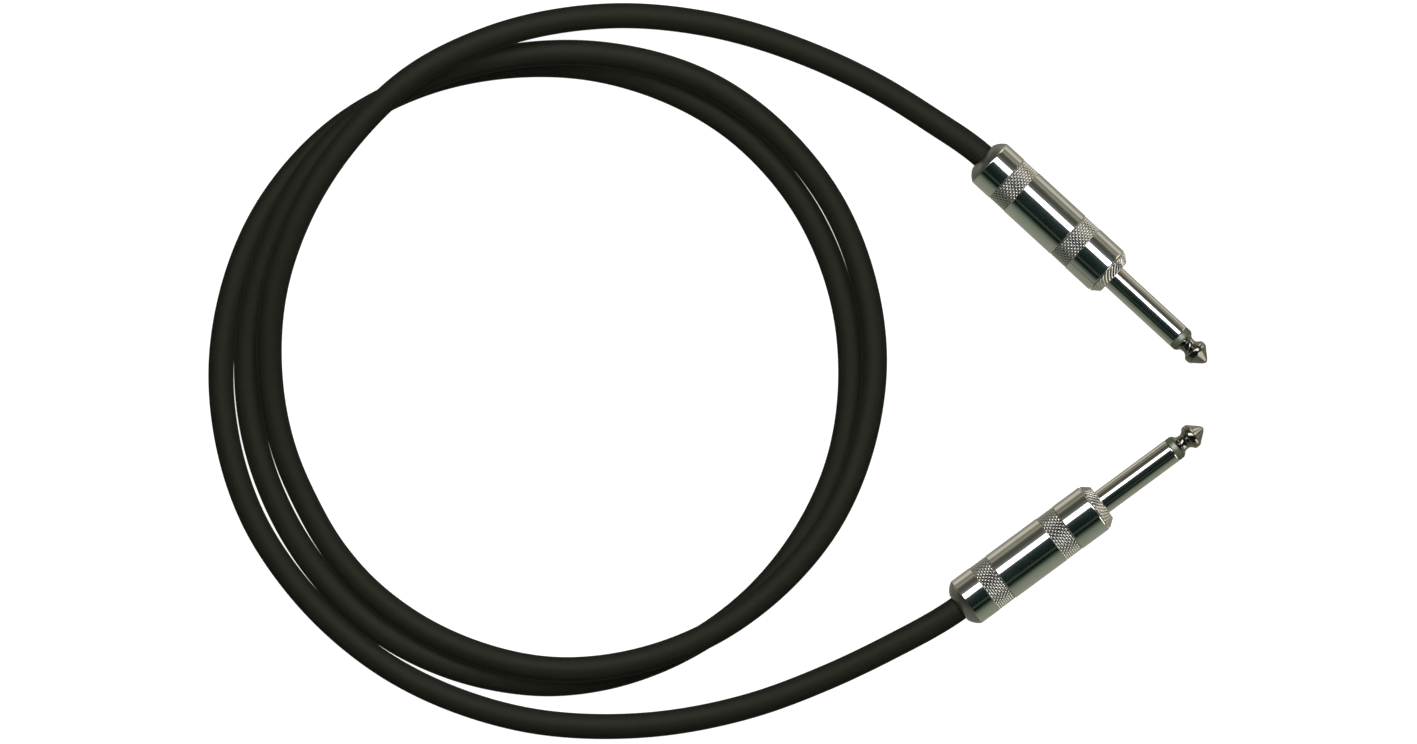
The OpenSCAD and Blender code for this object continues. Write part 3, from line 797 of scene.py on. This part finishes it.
# section of the ring between sleeve and tip: s, radius
TIP_RING = [
    (66.83, 1.25), (SLEEVE_FRONT, 1.35), (SLEEVE_FRONT, 2.95), (66.84, 3.08), (66.92, 3.14),
    (67.15, 3.145), (67.5, 3.145), (67.8, 3.145), (68.12, 3.145), (68.3, 3.12), (68.46, 3.04),
    (68.56, 2.93), (TIP_BASE, 2.80), (TIP_BASE, 1.35), (68.57, 1.25),
]


def smooth_head(table, steps=4):
    """Catmull-Rom through a table of the head, steps points to a span."""
    p = np.array([(TIP_BASE + s, radius) for s, radius in table], float)
    points = []
    for k in range(len(p) - 1):
        a, b, c, d = p[max(k - 1, 0)], p[k], p[k + 1], p[min(k + 2, len(p) - 1)]
        for t in np.arange(steps) / steps:
            points.append(0.5 * ((2 * b) + (-a + c) * t + (2*a - 5*b + 4*c - d) * t*t
                                 + (-a + 3*b - 3*c + d) * t**3))
    return points + [p[-1]]


def tip(side):
    profile = ROD_END + [(s, ROD_R) for s in (35.4, 40.0, 52.0, 64.0, TIP_BASE)]
    profile += [(TIP_BASE, 1.3), (TIP_BASE, 2.85), (TIP_BASE + 0.03, 2.94)]
    profile += smooth_head(TIP_NECK) + smooth_head(TIP_NOSE)[1:] + [(TIP_BASE + 7.9, 0.0)]
    ob = lathe("plug_%s_tip_turned" % side, side, profile, cols=128, sharp=40.0)
    fit(ob, "tip_nickel", "plug_%s_tip" % side, "plug_%s" % side)


def tip_ring(side):
    ob = revolve("plug_%s_tip_ring_moulded" % side, side, TIP_RING, 40.0)
    fit(ob, "tip_insulator", "plug_%s_tip_ring" % side, "plug_%s" % side)


for side in "ab":
    handle(side)
    sleeve_body(side)
    tip(side)
    tip_ring(side)

# the pieces that are still shown keep their CAD shape
for name, ob in nodes.items():
    if not ob.hide_render:
        dress(ob, SLOT_OF[name])
        for polygon in ob.data.polygons:
            polygon.use_smooth = True
        ob.data.set_sharp_from_angle(angle=math.radians(30))


# ---------------------------------------------------------------- floor
def paper():
    """White paper that glows by itself and takes only faint shadows."""
    material, n = new_material("floor_paper")
    fibres = n.noise(n.object_place(), scale=900.0, detail=3.0)
    tone = n.ramp(fibres, [(0.2, (0.985, 0.985, 0.98)), (0.8, (1.0, 1.0, 1.0))])
    diffuse = n.add("ShaderNodeBsdfDiffuse", {"Color": (0.16, 0.16, 0.16)})
    glow = n.add("ShaderNodeEmission", {"Color": tone, "Strength": 0.98})
    n.output("ShaderNodeOutputMaterial", n.add_shaders(diffuse.outputs[0], glow.outputs[0]))
    return material


FLOOR_HALF = 60.0
FLOOR_GAP = 0.0001                      # the floor lies this far under the lowest piece
floor_mesh = bpy.data.meshes.new("floor")
floor_mesh.from_pydata([(x * FLOOR_HALF, y * FLOOR_HALF, 0)
                        for x, y in ((-1, -1), (1, -1), (1, 1), (-1, 1))], [], [(0, 1, 2, 3)])
floor = bpy.data.objects.new("floor", floor_mesh)
floor.location = (0, 0, cad_low[2] - FLOOR_GAP)
bpy.context.scene.collection.objects.link(floor)
floor.visible_glossy = False
floor.visible_diffuse = False
floor_mesh.materials.append(paper())

# ---------------------------------------------------------------- world
# what the bright metal sees in a sweep over the top, which repeats at straight down:
# degrees from overhead towards +Y, colour
ROOM = [
    (-180, (0.30, 0.31, 0.25)), (-135, (0.29, 0.305, 0.25)), (-105, (0.255, 0.28, 0.22)),
    (-80, (0.19, 0.22, 0.17)), (-66, (0.075, 0.10, 0.082)), (-57, (0.006, 0.012, 0.010)),
    (-46, (0.006, 0.012, 0.010)), (-42, (0.045, 0.065, 0.048)), (-39, (0.040, 0.060, 0.045)),
    (-35, (0.006, 0.012, 0.010)), (-22, (0.006, 0.013, 0.012)), (-4, (0.011, 0.024, 0.023)),
    (10, (0.045, 0.062, 0.068)), (42, (0.20, 0.20, 0.235)), (50, (0.12, 0.13, 0.125)),
    (60, (0.070, 0.080, 0.062)), (74, (0.090, 0.088, 0.064)), (82, (0.30, 0.29, 0.235)),
    (90, (0.29, 0.285, 0.235)), (95, (0.20, 0.20, 0.165)), (101, (0.26, 0.26, 0.215)),
    (110, (0.62, 0.60, 0.52)), (121, (0.66, 0.64, 0.55)), (130, (0.36, 0.355, 0.30)),
    (150, (0.30, 0.30, 0.255)), (180, (0.30, 0.31, 0.25)),
]
# masks of (place, level). SWEEP is in degrees as above. ROUND is the way round the horizon:
# 0.25 at -Y, 0.5 at +X, 0.75 at +Y, 0 and 1 at -X. X and Z are the direction's component,
# from 0 at -1 to 1 at +1.
STRIP_SWEEP = [(14.5, 0), (17.5, 1), (37.0, 1), (40.5, 0)]
STRIP_X = [(0.298, 0), (0.312, 1), (0.732, 1), (0.750, 0)]
CARD_ROUND = [
    (0.364, 0), (0.373, 1), (0.455, 1), (0.470, 0.05), (0.575, 0.05), (0.586, 1),
    (0.617, 1), (0.624, 0), (0.639, 0), (0.646, 1), (0.720, 1), (0.738, 0),
]
CARD_Z = [(0.39, 0), (0.43, 1), (0.65, 1), (0.69, 0)]
DARK_ROUND = [
    (0.0, 1), (0.105, 1), (0.118, 0), (0.758, 0), (0.772, 1), (0.8335, 1), (0.8375, 0),
    (0.8647, 0), (0.869, 1), (0.897, 1), (0.915, 0), (0.985, 0), (1.0, 1),
]
DARK_Z = [(0.08, 0), (0.18, 1), (0.80, 1), (0.86, 0)]
WINDOW_TOWARDS = (0.771, -0.4285, 0.471)
WINDOW_EDGE = [(0.977, 0), (0.985, 1)]  # by the cosine of the angle from its middle
# soft dome for all that isn't a mirror: Z as above, colour
DOME_Z = [(0.0, (0.03, 0.03, 0.028)), (0.5, (0.08, 0.08, 0.075)),
          (0.80, (0.35, 0.35, 0.35)), (1.0, (0.9, 0.9, 0.9))]
SWEEP_SQUEEZE = 0.77                    # Y is divided by this before the sweep is taken


def sweep_stops(table):
    return [(degrees / 360.0 + 0.5, value) for degrees, value in table]


def build_world():
    """Mirror rays see the room and its lights, the camera sees white, the rest a soft dome."""
    world = bpy.data.worlds.new("studio")
    bpy.context.scene.world = world
    world.use_nodes = True
    n = Nodes(world.node_tree)
    direction = n.add("ShaderNodeTexCoord").outputs["Generated"]
    x, y, z = n.add("ShaderNodeSeparateXYZ", {"Vector": direction}).outputs

    def from_angle(angle):
        return n.plus(n.math("DIVIDE", angle, TURN), 0.5)

    def from_component(component):
        return n.plus(n.times(component, 0.5), 0.5)

    sweep = from_angle(n.math("ARCTAN2", n.math("DIVIDE", y, SWEEP_SQUEEZE), z))
    around = from_angle(n.math("ARCTAN2", y, x))
    room = n.ramp(sweep, sweep_stops(ROOM))
    # a long soft box overhead, a little towards +Y
    strip_sweep = n.mask(sweep, sweep_stops(STRIP_SWEEP))
    strip_x = n.mask(from_component(x), STRIP_X)
    strip = n.times(n.times(strip_sweep, strip_x), 3.6)
    # pale cards about the horizon, on the +X side and round to +Y
    card_round = n.mask(around, CARD_ROUND)
    card_z = n.mask(from_component(z), CARD_Z)
    card = n.times(n.times(card_z, card_round), 1.3)
    # a small bright window
    towards = n.add("ShaderNodeVectorMath", {0: direction, 1: WINDOW_TOWARDS},
                    operation="DOT_PRODUCT").outputs["Value"]
    window = n.times(n.mask(towards, WINDOW_EDGE), 2.6)
    # the room is darker on the -X side
    dark_round = n.mask(around, DARK_ROUND)
    dark_z = n.mask(from_component(z), DARK_Z)
    dark = n.times(dark_round, dark_z)
    room = n.mix(n.times(dark, 0.35), room, (0.042, 0.060, 0.044))

    room_light = n.background(room, 1.0)
    strip_light = n.background((1.0, 1.0, 1.0), strip)
    card_light = n.background((1.0, 0.95, 0.82), card)
    window_light = n.background((1.0, 1.0, 1.0), window)
    cards = n.add_shaders(card_light, window_light)
    lights = n.add_shaders(strip_light, cards)
    mirrored = n.add_shaders(room_light, lights)
    dome = n.background(n.ramp(from_component(z), DOME_Z), 1.0)
    white = n.background((1, 1, 1), 1.0)
    ray = n.add("ShaderNodeLightPath").outputs
    lit = n.add("ShaderNodeMixShader", {0: ray["Is Glossy Ray"], 1: dome, 2: mirrored})
    seen = n.add("ShaderNodeMixShader", {0: ray["Is Camera Ray"], 1: lit.outputs[0], 2: white})
    n.output("ShaderNodeOutputWorld", seen.outputs[0])


build_world()

# ---------------------------------------------------------------- lights
centre = (cad_low + cad_high) / 2


def softbox(name, across, along, height, size, power, receivers=None):
    """A rectangular light aimed at the centre: across in X and along in Y from it, height
    above zero. With receivers, it gives only reflections, and only on that collection."""
    light = bpy.data.lights.new(name, "AREA")
    light.shape = "RECTANGLE"
    light.size, light.size_y = size
    light.energy = power
    ob = bpy.data.objects.new(name, light)
    ob.location = (centre[0] + across, centre[1] + along, height)
    ob.rotation_mode = "QUATERNION"
    aim = Vector(centre) - Vector((centre[0] + across, centre[1] + along, height))
    ob.rotation_quaternion = aim.to_track_quat("-Z", "Y")
    ob.visible_glossy = receivers is not None
    ob.visible_diffuse = receivers is None
    bpy.context.scene.collection.objects.link(ob)
    if receivers is not None:
        ob.light_linking.receiver_collection = receivers


def collect(name, belongs):
    """A collection of the objects whose names pass the test."""
    group = bpy.data.collections.new(name)
    for ob in bpy.data.objects:
        if belongs(ob.name):
            group.objects.link(ob)
    return group


softbox("softbox_over", across=0.0, along=0.75, height=2.6, size=(1.6, 1.0), power=80.0)
softbox("softbox_fill", across=0.5, along=-0.5, height=2.6, size=(2.0, 2.0), power=12.0)

# the coil stays out of the plugs' mirror finish
for ob in bpy.data.objects:
    if ob.name.startswith("cable_") and ob.name.endswith("_coil"):
        ob.visible_glossy = False

# soft sheen on the jacket, and a glint on the plastic rings behind the tips
softbox("softbox_sheen", across=0.0, along=1.55, height=2.4, size=(2.5, 1.2), power=200.0,
        receivers=collect("jackets", lambda name: name.startswith("cable_jacket")))
softbox("softbox_glint", across=0.0, along=0.9, height=2.4, size=(2.4, 1.8), power=160.0,
        receivers=collect("rings", lambda name: name.endswith("tip_ring_moulded")))

# ---------------------------------------------------------------- camera
# unrotated, so it looks straight down; from a long way off, so that nothing leans
VIEW_WIDTH = 0.3569                     # width of the floor in view
CAMERA_DISTANCE = 8.0
CAMERA_X, CAMERA_Y = 0.00017, -0.00014
VIEW_HEIGHT = 0.0035                    # height at which the view is VIEW_WIDTH wide
SENSOR = 36.0
camera_data = bpy.data.cameras.new("camera")
camera = bpy.data.objects.new("camera", camera_data)
bpy.context.scene.collection.objects.link(camera)
bpy.context.scene.camera = camera
camera_data.sensor_width = SENSOR
camera_data.lens = SENSOR * CAMERA_DISTANCE / VIEW_WIDTH
camera_data.clip_start = 0.1
camera_data.clip_end = 200.0
camera.location = (CAMERA_X, CAMERA_Y, CAMERA_DISTANCE + VIEW_HEIGHT)

view = bpy.context.scene.view_settings
view.view_transform = "Standard"
view.look = "None"
view.exposure = 0.0
view.gamma = 1.0
